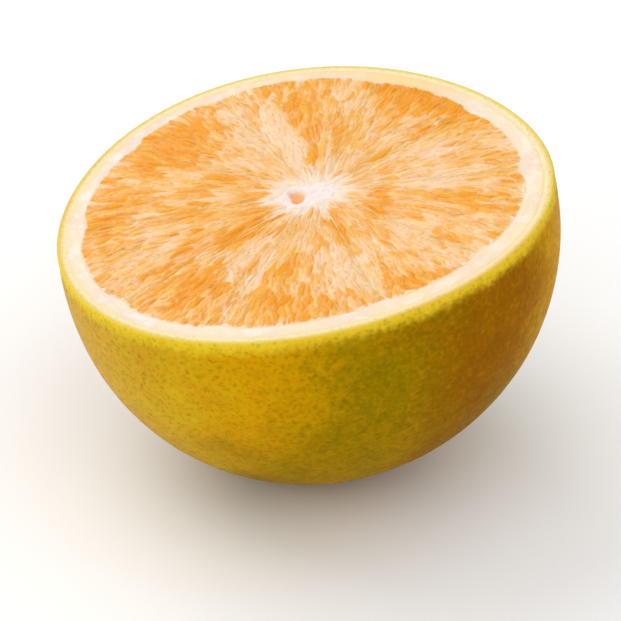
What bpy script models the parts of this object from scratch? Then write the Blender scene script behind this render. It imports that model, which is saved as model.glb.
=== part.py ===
"""Half of a sweet orange, cut across a little above its middle, resting on its peel with the cut face up.

The fruit is a slightly long ball. Its own frame has the origin at the ball's middle and +Z along the
fruit's axis, out of the cut face. The half leans towards -X, as a round-bottomed half does on a table,
and stands on a small flat spot whose middle is the world origin. Lengths are in metres.
"""

import math

import bmesh
import bpy
from mathutils import Matrix, Vector

MM = 0.001

# The ball: half its width at the cut, half its length, and how far above the middle the knife went
FACE_RADIUS = 38.0 * MM
HALF_LENGTH = 41.0 * MM
CUT_HEIGHT = 3.8 * MM

# How it lies: the lean of its axis towards -X, and how much the spot that it rests on is pressed flat
LEAN = math.radians(8.6)
REST_DEPTH = 0.7 * MM

# The outline is a rounded triangle: how far its three corners stand out, and where the first one is
LOBE = 0.022
LOBE_TURN = math.radians(-17.0)

# The peel on the cut face: mean thickness, how much more on its thickest side, where that is, its rounded edge
PEEL = 4.0 * MM
PEEL_SWING = 0.65 * MM
PEEL_THICK_SIDE = math.radians(-50.0)
PEEL_EDGE = 0.6 * MM
PITH_SINK = 0.15 * MM
PITH_SCALLOP = 0.7 * MM

# The segments: how many, and how far their walls stray from an even spacing, and in what rhythm
SEGMENTS = 10
WALL_STRAY = math.radians(4.0)
STRAY_STEP = 2.4
STRAY_START = 0.7

# How a segment swells between grooves along its walls and along the pith
BULGE = 0.5 * MM
WALL_GROOVE = 0.3 * MM
EDGE_GROOVE = 0.25 * MM

# How wide those forms are, as shares of the way from a wall to the segment's middle
SCALLOP_WIDTH = 0.4
ARM_WIDTH = 0.45
SHOULDER_WIDTH = 0.42
GROOVE_WIDTH = 0.25

# How far the relief takes to rise, as shares of the way from the pith to the core
OUTER_RISE = 0.2
INNER_RISE = 0.33

# The juice sacs: how far they stand out, how many mesh rows one spans, and how many lie side by side in
# each belt of a segment, from the pith in to the core
SAC_RELIEF = 0.14 * MM
SAC_ROWS = 3
SACS_ABREAST = (10, 10, 5, 5, 2)

# The white core: where it lies on the face, its size, how far its arms reach, and how far it sinks
CORE_AT = Vector((2.3 * MM, 2.1 * MM))
CORE_RADIUS = 2.5 * MM
CORE_ARM = 1.1 * MM
CORE_SINK = 0.35 * MM

# The pit in the core, as seen from the core's middle, and how much further the core reaches on that side
PIT_AT = Vector((-3.0 * MM, -0.7 * MM))
PIT_RADIUS = 2.0 * MM
PIT_DEPTH = 1.4 * MM
CORE_DRAW = 2.8 * MM

# The mesh: columns in each segment on the face, with half as many on the skin, and rows in each stretch
SEGMENT_COLUMNS = 20
SKIN_ROWS = 11
PULP_ROWS = 15
PEEL_STEPS = (0.22, 0.6)
CORE_STEPS = (0.33, 0.66)

FACE_COLUMNS = SEGMENTS * SEGMENT_COLUMNS
EQUATOR_RADIUS = FACE_RADIUS / math.sqrt(1 - (CUT_HEIGHT / HALF_LENGTH) ** 2)

PEEL_COLOUR = (0.45, 0.27, 0.010, 1)
PITH_COLOUR = (0.93, 0.80, 0.60, 1)
PULP_COLOUR = (0.90, 0.36, 0.045, 1)


def smooth(share):
    """Eases a share of 0 to 1 in and out, and holds it there outside."""
    held = min(1.0, max(0.0, share))
    return held * held * (3 - 2 * held)


def wall_angle(index):
    """Where the wall before a segment stands, counted from +X."""
    return math.tau * index / SEGMENTS + WALL_STRAY * math.sin(STRAY_STEP * index + STRAY_START)


def column_angle(column):
    """The direction of a column of the face's mesh, evenly spread between the two walls of its segment."""
    index, step = divmod(column, SEGMENT_COLUMNS)
    start = wall_angle(index)
    end = wall_angle(index + 1) if index + 1 < SEGMENTS else math.tau + wall_angle(0)
    return start + (end - start) * step / SEGMENT_COLUMNS


def across_segment(column):
    """0 on a segment's walls and 1 along its middle."""
    step = column % SEGMENT_COLUMNS
    return 1 - abs(2 * step / SEGMENT_COLUMNS - 1)


def lobe(angle):
    """How much further out the fruit reaches in a direction, as a factor."""
    return 1 + LOBE * math.cos(3 * (angle - LOBE_TURN))


def skin_point(angle, height):
    """A point of the skin, at a height along the fruit's axis."""
    radius = EQUATOR_RADIUS * math.sqrt(max(0.0, 1 - (height / HALF_LENGTH) ** 2))
    fullness = radius / FACE_RADIUS
    radius *= 1 + (lobe(angle) - 1) * min(1.0, fullness)
    return Vector((radius * math.cos(angle), radius * math.sin(angle), height))


def on_face(point, relief):
    """Lifts a point in the plane of the cut to its height in the fruit."""
    return Vector((point.x, point.y, CUT_HEIGHT + relief))


def rounded_edge(angle):
    """The middle of the rim's rounded edge, between the skin and the flat of the cut."""
    inset = PEEL_EDGE * (1 - math.sqrt(0.5))
    return skin_point(angle, CUT_HEIGHT) - inset * Vector((math.cos(angle), math.sin(angle), 1))


def rim(angle):
    """The outermost point of the flat part of the cut face, inside the peel's rounded edge."""
    radius = FACE_RADIUS * lobe(angle) - PEEL_EDGE
    return Vector((radius * math.cos(angle), radius * math.sin(angle)))


def pulp_edge(column):
    """Where the pith ends and a segment starts: the pith reaches in a little at each wall."""
    angle = column_angle(column)
    thickness = PEEL + PEEL_SWING * math.cos(angle - PEEL_THICK_SIDE)
    thickness += PITH_SCALLOP * (1 - smooth(across_segment(column) / SCALLOP_WIDTH))
    radius = FACE_RADIUS * lobe(angle) - thickness
    return Vector((radius * math.cos(angle), radius * math.sin(angle)))


def core_edge(column):
    """The border of the white core, which is drawn out round the pit and sends a short arm up each wall."""
    outward = (pulp_edge(column) - CORE_AT).normalized()
    radius = CORE_RADIUS + CORE_ARM * (1 - smooth(across_segment(column) / ARM_WIDTH))
    radius += CORE_DRAW * max(0.0, outward.dot(PIT_AT.normalized())) ** 2
    return CORE_AT + outward * radius


def sac_wave(column, row):
    """1 along the ridges of the juice sacs and -1 between them. Each belt is staggered against the last."""
    belt = min(row // SAC_ROWS, len(SACS_ABREAST) - 1)
    turns = SACS_ABREAST[belt] * (column % SEGMENT_COLUMNS) / SEGMENT_COLUMNS + belt / 2
    return math.cos(math.tau * turns)


def pulp_relief(column, row):
    """Height of a segment: a low cushion that thins out towards the core, with ridges of juice sacs."""
    across = across_segment(column)
    along = row / PULP_ROWS
    off_wall = smooth(across / GROOVE_WIDTH)
    off_core = smooth((1 - along) / INNER_RISE)
    rise = min(off_core, smooth(along / OUTER_RISE))
    cushion = BULGE * smooth(across / SHOULDER_WIDTH) * rise
    groove = WALL_GROOVE * (1 - off_wall) * off_core + EDGE_GROOVE * (1 - rise)
    return cushion - groove + SAC_RELIEF * sac_wave(column, row) * off_wall * rise


def core_relief(point):
    """Height of the core: a little sunken, with a pit on one side."""
    depth = PIT_DEPTH * (1 - smooth((point - CORE_AT - PIT_AT).length / PIT_RADIUS))
    return -CORE_SINK - depth


def skin_rings(mesh):
    """Rings of vertices up the skin, from the one round the bottom pole to the one under the rim."""
    rings = []
    lowest = -math.pi / 2
    highest = math.asin((CUT_HEIGHT - PEEL_EDGE) / HALF_LENGTH)
    for row in range(1, SKIN_ROWS + 1):
        height = HALF_LENGTH * math.sin(lowest + (highest - lowest) * row / SKIN_ROWS)
        ring = [mesh.verts.new(skin_point(column_angle(c), height)) for c in range(0, FACE_COLUMNS, 2)]
        rings.append(ring)
    return rings


def face_rings(mesh):
    """Rings of vertices over the cut face, from the rim's rounded edge to the core."""
    columns = range(FACE_COLUMNS)
    rings = [
        [mesh.verts.new(rounded_edge(column_angle(c))) for c in columns],
        [mesh.verts.new(on_face(rim(column_angle(c)), 0)) for c in columns],
    ]
    for step in PEEL_STEPS:
        spots = [rim(column_angle(c)).lerp(pulp_edge(c), step) for c in columns]
        rings.append([mesh.verts.new(on_face(spot, -PITH_SINK)) for spot in spots])
    for row in range(PULP_ROWS + 1):
        spots = [pulp_edge(c).lerp(core_edge(c), row / PULP_ROWS) for c in columns]
        rings.append([mesh.verts.new(on_face(spots[c], pulp_relief(c, row))) for c in columns])
    for step in CORE_STEPS:
        spots = [core_edge(c).lerp(CORE_AT, step) for c in columns]
        rings.append([mesh.verts.new(on_face(spot, core_relief(spot))) for spot in spots])
    return rings


def join_rings(mesh, ring, next_ring, material):
    """Quads between two rings of the same count."""
    count = len(ring)
    for i in range(count):
        j = (i + 1) % count
        face = mesh.faces.new((ring[i], ring[j], next_ring[j], next_ring[i]))
        face.material_index = material


def join_coarse_to_fine(mesh, coarse, fine, material):
    """Three triangles for each edge of the coarse ring, which has half as many vertices."""
    count = len(coarse)
    for i in range(count):
        j = (i + 1) % count
        first, middle, last = fine[2 * i], fine[2 * i + 1], fine[(2 * i + 2) % len(fine)]
        mesh.faces.new((coarse[i], middle, first)).material_index = material
        mesh.faces.new((coarse[i], coarse[j], middle)).material_index = material
        mesh.faces.new((coarse[j], last, middle)).material_index = material


def close_ring(mesh, ring, centre, material):
    """A fan of triangles from a ring to one vertex at its middle."""
    for i, vertex in enumerate(ring):
        mesh.faces.new((vertex, ring[(i + 1) % len(ring)], centre)).material_index = material


def fruit_to_world():
    """Leans the fruit towards -X and sets its lowest point REST_DEPTH under the origin."""
    reach = math.hypot(EQUATOR_RADIUS * math.sin(LEAN), HALF_LENGTH * math.cos(LEAN))
    shift = (HALF_LENGTH**2 - EQUATOR_RADIUS**2) * math.sin(LEAN) * math.cos(LEAN) / reach
    return Matrix.Translation((-shift, 0, reach - REST_DEPTH)) @ Matrix.Rotation(-LEAN, 4, "Y")


def press_flat(mesh, material):
    """Cuts the skin off at the table and closes the hole with one flat face."""
    everything = mesh.verts[:] + mesh.edges[:] + mesh.faces[:]
    cut = bmesh.ops.bisect_plane(
        mesh, geom=everything, plane_co=(0, 0, 0), plane_no=(0, 0, 1), clear_inner=True, dist=1e-6
    )
    border = [item for item in cut["geom_cut"] if isinstance(item, bmesh.types.BMEdge)]
    for face in bmesh.ops.edgeloop_fill(mesh, edges=border)["faces"]:
        face.material_index = material


def finish_material(name, colour, roughness):
    """A plain finish for one of the three tissues."""
    material = bpy.data.materials.new(name)
    material.use_nodes = True
    shader = material.node_tree.nodes["Principled BSDF"]
    shader.inputs["Base Color"].default_value = colour
    shader.inputs["Roughness"].default_value = roughness
    return material


def orange_half():
    """The whole half: skin, cut face and resting spot, as one closed solid."""
    tissues = (("peel", PEEL_COLOUR, 0.4), ("pith", PITH_COLOUR, 0.6), ("pulp", PULP_COLOUR, 0.2))
    peel, pith, pulp = range(len(tissues))
    mesh = bmesh.new()
    skin = skin_rings(mesh)
    face = face_rings(mesh)
    close_ring(mesh, skin[0], mesh.verts.new((0, 0, -HALF_LENGTH)), peel)
    for ring, next_ring in zip(skin, skin[1:]):
        join_rings(mesh, ring, next_ring, peel)
    join_coarse_to_fine(mesh, skin[-1], face[0], peel)
    first_pulp = 2 + len(PEEL_STEPS)
    for number, (ring, next_ring) in enumerate(zip(face, face[1:])):
        in_pulp = first_pulp <= number < first_pulp + PULP_ROWS
        join_rings(mesh, ring, next_ring, peel if number == 0 else pulp if in_pulp else pith)
    close_ring(mesh, face[-1], mesh.verts.new(on_face(CORE_AT, core_relief(CORE_AT))), pith)
    mesh.transform(fruit_to_world())
    press_flat(mesh, peel)
    bmesh.ops.recalc_face_normals(mesh, faces=mesh.faces[:])

    data = bpy.data.meshes.new("orange_half")
    mesh.to_mesh(data)
    mesh.free()
    for name, colour, roughness in tissues:
        data.materials.append(finish_material(name, colour, roughness))
    data.shade_smooth()
    data.set_sharp_from_angle(angle=math.radians(40))
    half = bpy.data.objects.new("orange_half", data)
    bpy.context.scene.collection.objects.link(half)
    return half


for thing in list(bpy.data.objects):
    bpy.data.objects.remove(thing)
orange_half()
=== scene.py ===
"""The looks of half an orange: pored peel, white pith, ten segments of juice sacs, thin walls and a core.

Every form is worked out in the fruit's own frame, in metres, with the origin at the middle of the whole fruit
and +Z along its axis, out of the cut face. stand() then leans it and sets it on the table. A place on the cut
face is given by a turn, which counts segments round the fruit, and a share of the way from the pith (0) in to
the core (1).
"""

import itertools
import math

import bpy
import numpy as np
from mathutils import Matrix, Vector


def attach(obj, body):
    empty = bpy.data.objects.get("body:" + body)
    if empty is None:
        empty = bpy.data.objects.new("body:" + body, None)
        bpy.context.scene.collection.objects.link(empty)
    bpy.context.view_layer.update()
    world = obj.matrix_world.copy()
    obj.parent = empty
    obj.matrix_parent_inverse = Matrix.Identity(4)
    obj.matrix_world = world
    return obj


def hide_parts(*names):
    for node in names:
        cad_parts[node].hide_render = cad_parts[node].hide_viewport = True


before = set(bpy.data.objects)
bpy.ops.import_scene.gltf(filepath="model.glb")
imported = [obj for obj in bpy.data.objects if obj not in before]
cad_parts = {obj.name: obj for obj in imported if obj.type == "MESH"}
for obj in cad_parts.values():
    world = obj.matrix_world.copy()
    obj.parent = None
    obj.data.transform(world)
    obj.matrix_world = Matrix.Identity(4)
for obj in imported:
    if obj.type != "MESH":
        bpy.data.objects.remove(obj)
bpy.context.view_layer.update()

MM = 0.001

# The ball, the knife's height, and how it lies, as the solid has them
FACE_RADIUS = 38.0 * MM
HALF_LENGTH = 41.0 * MM
CUT_HEIGHT = 3.8 * MM
LEAN = math.radians(8.6)
REST_DEPTH = 0.7 * MM
LOBE = 0.022
LOBE_TURN = math.radians(-17.0)
EQUATOR_RADIUS = FACE_RADIUS / math.sqrt(1 - (CUT_HEIGHT / HALF_LENGTH) ** 2)

# The peel on the cut face: its mean thickness, how much more on its thickest side and where that is, the
# coloured skin's share of it, how far the pith reaches under that, the knife's edge, and how far the surface
# stays inside the plain solid
PEEL = 4.0 * MM
PEEL_SWING = 0.65 * MM
PEEL_THICK_SIDE = math.radians(-50.0)
SKIN_THICKNESS = 1.9 * MM
SKIN_OVERLAP = 0.6 * MM
CUT_EDGE = 0.35 * MM
TRIM = 0.09 * MM

# The peel's outside: its oil pores, with their spacing, their width as a share of it and their depth, its
# soft lumps, with the height under the cut over which both fade, and the scar and the sunken point at the
# pole. Here and below, a row of noise is a strength, a size and a seed.
PORE_SPACING = 1.75 * MM
PORE_WIDTH = 0.42
PORE_DEPTH = 0.16 * MM
LUMP_DEPTH = 0.14 * MM
LUMPS = ((0.3, 9.0 * MM, 21), (0.2, 3.0 * MM, 22))
SMOOTH_RIM = 1.2 * MM
SCAR_WIDTH = 1.7 * MM
SCAR_DEPTH = 0.5 * MM
POLE_SINK = 0.6 * MM

# The skin's cut edge: its glands, with their spacing, their width as a share of it, their depth and how far
# in they reach, then how far the strip lies under the cut, and how much deeper over the pith
GLAND_SPACING = 0.8 * MM
GLAND_WIDTH = 0.5
GLAND_DEPTH = 0.07 * MM
GLAND_REACH = 0.6 * MM
STRIP_SINK = 0.02 * MM
STRIP_DIP = 0.12 * MM

# Patches of colour as bells round the fruit, each with its middle and reach in degrees and its strength: on
# the peel lime, olive all the way down and high up only, where the low olive thins, russet, and a pale
# painted sheen on the left, and on the pith its warm tint. The olive and russet are partly the skin's own
# colour and partly painted shade, darker to the right and towards the bottom.
LIME = ((-128, 22, 0.6), (95, 35, 0.4))
OLIVE_AND_SHADE = ((50, 35, 0.35),)
OLIVE_AND_SHADE_HIGH = ((-73, 21, 0.75),)
OLIVE_AND_SHADE_THIN = ((-50, 28, 0.4),)
RUSSET_AND_SHADE = ((-46, 25, 1.05), (165, 40, 0.45))
PAINTED_SHEEN = ((-165, 30, 0.42),)
WARM = ((92, 34, 0.5), (60, 16, 0.8), (-40, 60, 0.4))

# Where they lie in height: how wide the bands of lime and of light are under the rim and over what height the
# light fades, how low the olive, partly painted shade, starts and over what height it comes, the distance
# from the axis within which the bells fade, and the noise that makes all of them uneven
LIME_BAND = 3.0 * MM
LIGHT_BAND = 3.4 * MM
LIGHT_FADE = 3.0 * MM
OLIVE_AND_SHADE_START = 6.0 * MM
OLIVE_AND_SHADE_FADE = 26.0 * MM
POLE_FADE = 22.0 * MM
UNEVEN = ((0.2, 17.0 * MM, 41), (0.15, 6.0 * MM, 42))

# The pith on the cut: how deep it lies at least, how much deeper past its slope and under the skin, its dip
# along the pulp with the dip's width, how far and how widely it reaches in at a wall, how far it goes on
# under the pulp, its felt, and how wide the wet edge along the pulp and the stained edge along the skin are
PITH_BASE = 0.04 * MM
PITH_SINK = 0.15 * MM
PITH_SLOPE = 2.0 * MM
UNDER_SKIN = 0.14 * MM
PITH_DIP = 0.12 * MM
DIP_WIDTH = 0.6 * MM
PITH_SCALLOP = 0.7 * MM
SCALLOP_WIDTH = 0.4
PITH_LAP = 0.5 * MM
FELT_HEIGHT = 0.06 * MM
FELT = ((0.5, 1.6 * MM, 51), (0.3, 0.6 * MM, 52), (0.2, 0.3 * MM, 53))
WET_EDGE = 0.9 * MM
STAINED_EDGE = 1.3 * MM

# Under the cut: where the hidden sides and the inside of the pith start, how much lower than its bowl the
# pith's lowest point is, and by how much the bowls of the pulp, of the pith and walls, and of the core stay
# short of half the fruit's length
SIDE_START = 1.0 * MM
PITH_START = 0.4 * MM
PITH_FOOT = 0.5 * MM
PULP_FLOOR = 5.0 * MM
PITH_FLOOR = 5.5 * MM
CORE_FLOOR = 6.0 * MM

# The segments: their number, how far their walls stray from even steps, their cushion with the shares of its
# width and length over which it rises, the gap at a wall, and the share by which the pulp reaches over the
# pith
SEGMENTS = 10
WALL_STRAY = math.radians(4.0)
STRAY_STEP = 2.4
STRAY_START = 0.7
BULGE = 0.3 * MM
SHOULDER_WIDTH = 0.42
OUTER_RISE = 0.2
INNER_RISE = 0.33
SEGMENT_GAP = 0.06 * MM
PULP_TUCK = 0.01

# The thin walls: how thick they are, how deep they lie on the whole and at their ends at the pith and at the
# core, and their uneven height
WALL_THICKNESS = 0.16 * MM
WALL_SINK = 0.17 * MM
PITH_END_SINK = 0.3 * MM
CORE_END_SINK = 0.25 * MM
WALL_LUMPS = ((0.05 * MM, 1.2 * MM, 92),)

# The juice sacs: their usual length and breadth, how far they stand out, where their belts start and how far
# apart they are in lengths, the share that the knife opened, how the noise bends them, and the first seed
SAC_LENGTH = 4.4 * MM
SAC_BREADTH = 0.85 * MM
SAC_RELIEF = 0.15 * MM
FIRST_BELT = 0.3
BELT_STEP = 0.85
OPENED = 0.3
SAC_SWAY = ((0.32 * MM, 2.6 * MM, 61), (0.09 * MM, 0.8 * MM, 63))
SAC_SEED = 700

# The pulp's surface: how deep it lies on the whole, at its rounded shoulders, along the pith and at the core,
# how wide its shoulders are at a wall and at the pith, how wide and how ragged its edge along the pith is,
# how near the core it sinks and grows calm, and its fine ripple
PULP_SINK = 0.1 * MM
SHOULDER_SINK = 0.05 * MM
PITH_TUCK = 0.35 * MM
CORE_TUCK = 0.24 * MM
WALL_SHOULDER = 0.4 * MM
PITH_SHOULDER = 0.5 * MM
TUCK_WIDTH = 0.4 * MM
TUCK_START = 0.15 * MM
TUCK_RAGS = ((0.075 * MM, 1.1 * MM, 73), (0.075 * MM, 0.45 * MM, 74))
TIP_REACH = 1.4 * MM
CALM_REACH = 3.5 * MM
RIPPLE = ((0.018 * MM, 0.55 * MM, 71), (0.009 * MM, 0.3 * MM, 72))

# The pulp's looks: the width of the sacs' skins, how far from the pith and from the core it is pale, how far
# from the core its hairs are coarse, how the noise bends them, the radius at which an angle is made a length
# for them and how far each segment's are moved on, and its clouds over all and round the core, whose paleness
# is partly painted sheen of the wet surface
SKIN_LINE = 0.15 * MM
PALE_AT_PITH = 0.7 * MM
PALE_AT_CORE = 4.5 * MM
COARSE_REACH = 17.0 * MM
HAIR_SWAY = ((0.5 * MM, 2.4 * MM, 75),)
HAIR_RADIUS = 20.0 * MM
HAIR_SHIFT = 9.0 * MM
CLOUD_AND_SHEEN_NOISE = ((0.15, 6.0 * MM, 81), (0.3, 1.8 * MM, 82))
CLOUD_AND_SHEEN_START = 3.5 * MM
CLOUD_AND_SHEEN_FADE = 8.0 * MM

# Where the pulp is clouded and paler, partly by painted sheen (plus), or clear (minus): east and north of the
# face's middle, the patch's reach along the way to the core and across it, all in millimetres, and its
# strength
PATCHES = (
    (-20.5, 21.0, 5.0, 6.0, -1.3),
    (23.5, 23.0, 4.0, 7.5, -1.5),
    (0.5, 25.0, 4.0, 2.5, -0.8),
    (16.5, 28.0, 3.5, 5.0, -1.1),
    (-9.8, -8.4, 2.8, 1.9, -1.0),
    (-16.5, -20.5, 5.5, 4.5, -0.8),
    (-4.5, -27.5, 2.5, 5.0, -0.7),
    (6.0, -11.5, 2.0, 1.5, -0.9),
    (16.5, -25.5, 2.5, 4.0, -0.7),
    (25.0, -5.5, 4.0, 2.0, -0.7),
    (-29.5, 2.0, 3.0, 8.0, -0.4),
    (-5.0, 18.5, 9.0, 3.5, 0.5),
    (19.0, 7.5, 5.0, 4.5, 0.65),
    (19.4, 0.5, 4.0, 2.2, 1.1),
    (-10.5, -17.5, 3.2, 1.0, 1.1),
    (-7.0, -19.5, 4.5, 1.0, 1.2),
    (6.0, -19.5, 7.0, 2.4, 0.6),
    (-22.0, -6.0, 5.0, 3.0, 0.3),
    (-0.4, 13.5, 5.5, 0.8, 0.9),
    (1.8, 11.0, 2.4, 0.9, -0.9),
    (-11.0, 8.2, 2.8, 1.3, -0.8),
    (-3.0, -18.6, 2.6, 2.2, -0.8),
    (12.9, 10.6, 3.2, 1.3, -0.8),
)

# The core: its middle, its size, its arms along the walls, how far it sinks and its edge deeper, how much
# larger it is made to go under the pulp, its crown with the crown's reach, and its sponge
CORE_AT = np.array([2.3 * MM, 2.1 * MM])
CORE_RADIUS = 2.5 * MM
CORE_ARM = 1.1 * MM
ARM_WIDTH = 0.45
CORE_SINK = 0.35 * MM
CORE_EDGE_SINK = 0.15 * MM
CORE_LAP = 1.12
CROWN = 0.35 * MM
CROWN_REACH = 2.2 * MM
SPONGE = ((0.08 * MM, 0.8 * MM, 101), (0.048 * MM, 0.35 * MM, 102))

# The pit in it, on whose side it is drawn out: its place from the core's middle, its size, its uneven border,
# the ridge round it with the ridge's radius in the pit's and its width, and how far the core is drawn out
PIT_AT = np.array([-3.0 * MM, -0.7 * MM])
PIT_RADIUS = 2.0 * MM
PIT_DEPTH = 1.4 * MM
PIT_STRAY = ((0.45 * MM, 1.5 * MM, 103),)
RIDGE = 0.2 * MM
RIDGE_RADIUS = 1.15
RIDGE_WIDTH = 0.5 * MM
CORE_DRAW = 2.8 * MM

# The studio: where all is aimed, the camera's height as an angle, its distance, the width that it sees, its
# sensor's width in millimetres, the floor's half width, the world's light, and the lamps as their name,
# place, size and power in watts
LOOK_AT = Vector((0.0, 0.0, 24 * MM))
CAMERA_RISE = math.radians(33.8)
CAMERA_DISTANCE = 0.9
VIEW_WIDTH = 95 * MM
SENSOR_WIDTH = 36.0
FLOOR_REACH = 4.0
WORLD_LIGHT = 0.7
LAMPS = (
    ("lamp behind left", (-1.0, 0.9, 1.5), (1.8, 1.6), 14.0),
    ("lamp above", (0.2, -0.8, 1.9), (2.2, 2.2), 10.0),
    ("lamp front left", (-0.9, -0.7, 0.5), (0.7, 0.7), 1.2),
)


def ease(share):
    """3 s^2 - 2 s^3 for a share s, held to 0 below 0 and to 1 above 1."""
    held = np.clip(share, 0, 1)
    return held * held * (3 - 2 * held)


def draw(cell, seed):
    """A number from 0 to 1 for each lattice cell: its three whole numbers, each times a prime, are folded
    together."""
    east, north, up = np.moveaxis(cell.astype(np.int64), -1, 0)
    folded = (east * 73856093) ^ (north * 19349663) ^ (up * 83492791) ^ (seed * 40503)
    folded = ((folded ^ (folded >> 13)) * 1274126177) & 0xFFFFFFFF
    return ((folded ^ (folded >> 16)) & 0xFFFFFF) / 0xFFFFFF


def noise(points, size, seed):
    """Smooth noise of -1 to 1: a draw at each corner of a lattice of that size, eased between the eight
    corners."""
    place = points / size
    base = np.floor(place)
    share = ease(place - base)
    total = 0
    for corner in itertools.product((0, 1), repeat=3):
        weight = np.prod(np.where(corner, share, 1 - share), axis=-1)
        total = total + weight * draw(base + corner, seed)
    return 2 * total - 1


def layers(points, rows):
    """The sum of noises, each of a strength, a size and a seed."""
    return sum(strength * noise(points, size, seed) for strength, size, seed in rows)


def sway(flat, rows):
    """Layers of noise as a way east, and with the next seeds as a way north."""
    spot = lift(flat, 0.0)
    north_rows = [(strength, size, seed + 1) for strength, size, seed in rows]
    return np.stack([layers(spot, rows), layers(spot, north_rows)], axis=-1)


def bells(angle, rows):
    """The sum of bells over an angle: each has its strength at its middle and falls off over its reach."""
    total = 0
    for middle, reach, strength in rows:
        away = (np.degrees(angle) - middle + 180) % 360 - 180
        total = total + strength * np.exp(-((away / reach) ** 2))
    return total


def pores(points, spacing, seed):
    """Distance to the nearest pore, in spacings: each lattice cell holds one, and the 27 cells round a point
    are tried."""
    place = points / spacing
    base = np.floor(place)
    nearest = np.full(points.shape[:-1], 9.0)
    for step in itertools.product((-1, 0, 1), repeat=3):
        cell = base + step
        pore = cell + np.stack([draw(cell, seed + axis) for axis in range(3)], axis=-1)
        nearest = np.minimum(nearest, np.linalg.norm(place - pore, axis=-1))
    return nearest


def lobe(angle):
    """1 plus a small cosine of three times the angle: the outline's three soft corners."""
    return 1 + LOBE * np.cos(3 * (angle - LOBE_TURN))


def ball_radius(angle, height, inset=0.0):
    """An ellipse's radius at a height, drawn in by an inset, with the corners fading out towards the pole."""
    long_half = HALF_LENGTH - inset
    radius = (EQUATOR_RADIUS - inset) * np.sqrt(np.clip(1 - (height / long_half) ** 2, 0, None))
    return radius * (1 + (lobe(angle) - 1) * np.minimum(1, radius / FACE_RADIUS))


def polar(radius, angle):
    """The point in the plane at a radius and an angle."""
    return np.stack([radius * np.cos(angle), radius * np.sin(angle)], axis=-1)


def lift(flat, height):
    """A point in the plane and its height, as a point in space."""
    return np.concatenate([flat, np.broadcast_to(height, flat.shape[:-1])[..., None]], axis=-1)


def wall_angle(index):
    """Even steps of a tenth of a turn, each moved by a small sine."""
    return math.tau * index / SEGMENTS + WALL_STRAY * np.sin(STRAY_STEP * index + STRAY_START)


def turn_angle(turn):
    """The angle of a turn, even between the two walls of its segment."""
    walls = wall_angle(np.arange(SEGMENTS))
    return np.interp(turn, np.arange(SEGMENTS + 1), np.append(walls, walls[0] + math.tau))


def across(turn):
    """0 on a wall and 1 along a segment's middle, straight between them."""
    return 1 - np.abs(2 * (turn % 1) - 1)


def pulp_edge(turn):
    """The outline less the peel, whose thickness swings by a cosine and grows a little at each wall."""
    angle = turn_angle(turn)
    thickness = PEEL + PEEL_SWING * np.cos(angle - PEEL_THICK_SIDE)
    thickness += PITH_SCALLOP * (1 - ease(across(turn) / SCALLOP_WIDTH))
    return polar(FACE_RADIUS * lobe(angle) - thickness, angle)


def core_edge(turn):
    """A circle round the core's middle, which reaches out along each wall, and further by the square of the
    cosine of the angle to the pit."""
    outward = pulp_edge(turn) - CORE_AT
    outward /= np.linalg.norm(outward, axis=-1, keepdims=True)
    to_pit = np.clip(outward @ (PIT_AT / np.linalg.norm(PIT_AT)), 0, None)
    reach = CORE_RADIUS + CORE_ARM * (1 - ease(across(turn) / ARM_WIDTH)) + CORE_DRAW * to_pit**2
    return CORE_AT + outward * reach[..., None]


def on_cut(turn, share):
    """The point a share of the straight way from the pulp's edge in to the core's edge."""
    return pulp_edge(turn) * (1 - share)[..., None] + core_edge(turn) * share[..., None]


def from_core(flat):
    """Distance of a point on the cut from the core's middle."""
    return np.linalg.norm(flat - CORE_AT, axis=-1)


def stand(points):
    """Turns the fruit by its lean about Y and moves it so that the lowest skin lies REST_DEPTH under the
    table, then presses what is under the table flat."""
    reach = math.hypot(EQUATOR_RADIUS * math.sin(LEAN), HALF_LENGTH * math.cos(LEAN))
    shift = (HALF_LENGTH**2 - EQUATOR_RADIUS**2) * math.sin(LEAN) * math.cos(LEAN) / reach
    east, north, up = np.moveaxis(points, -1, 0)
    stood = np.stack([
        east * math.cos(LEAN) - up * math.sin(LEAN) - shift,
        north,
        east * math.sin(LEAN) + up * math.cos(LEAN) + reach - REST_DEPTH,
    ], axis=-1)
    stood[..., 2] = np.maximum(stood[..., 2], 0)
    return stood


def make_piece(name, points, quads, fans, finish, marks):
    """A mesh of the points and faces, turned outwards if its volume comes out negative, with a number at
    every point for each mark, riding on the fruit in place of the plain solid."""
    stood = stand(points)
    corners = np.concatenate([quads[:, [0, 1, 2]], quads[:, [0, 2, 3]], fans])
    first, second, third = (stood[corners[:, i]] for i in range(3))
    if np.einsum("ij,ij->", first, np.cross(second, third)) < 0:
        quads, fans = quads[:, ::-1], fans[:, ::-1]
    mesh = bpy.data.meshes.new(name)
    mesh.vertices.add(len(stood))
    mesh.vertices.foreach_set("co", stood.astype(np.float32).ravel())
    mesh.loops.add(quads.size + fans.size)
    mesh.loops.foreach_set("vertex_index", np.concatenate([quads.ravel(), fans.ravel()]).astype(np.int32))
    starts = np.concatenate([np.arange(len(quads)) * 4, quads.size + np.arange(len(fans)) * 3])
    mesh.polygons.add(len(starts))
    mesh.polygons.foreach_set("loop_start", starts.astype(np.int32))
    mesh.update(calc_edges=True)
    mesh.shade_smooth()
    for mark, values in marks.items():
        kind = "FLOAT_VECTOR" if values.ndim > 1 else "FLOAT"
        layer = mesh.attributes.new(mark, kind, "POINT")
        layer.data.foreach_set("vector" if values.ndim > 1 else "value", values.astype(np.float32).ravel())
    mesh.materials.append(finish)
    piece = bpy.data.objects.new(name, mesh)
    bpy.context.scene.collection.objects.link(piece)
    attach(piece, "root")
    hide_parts("orange_half")


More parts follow.
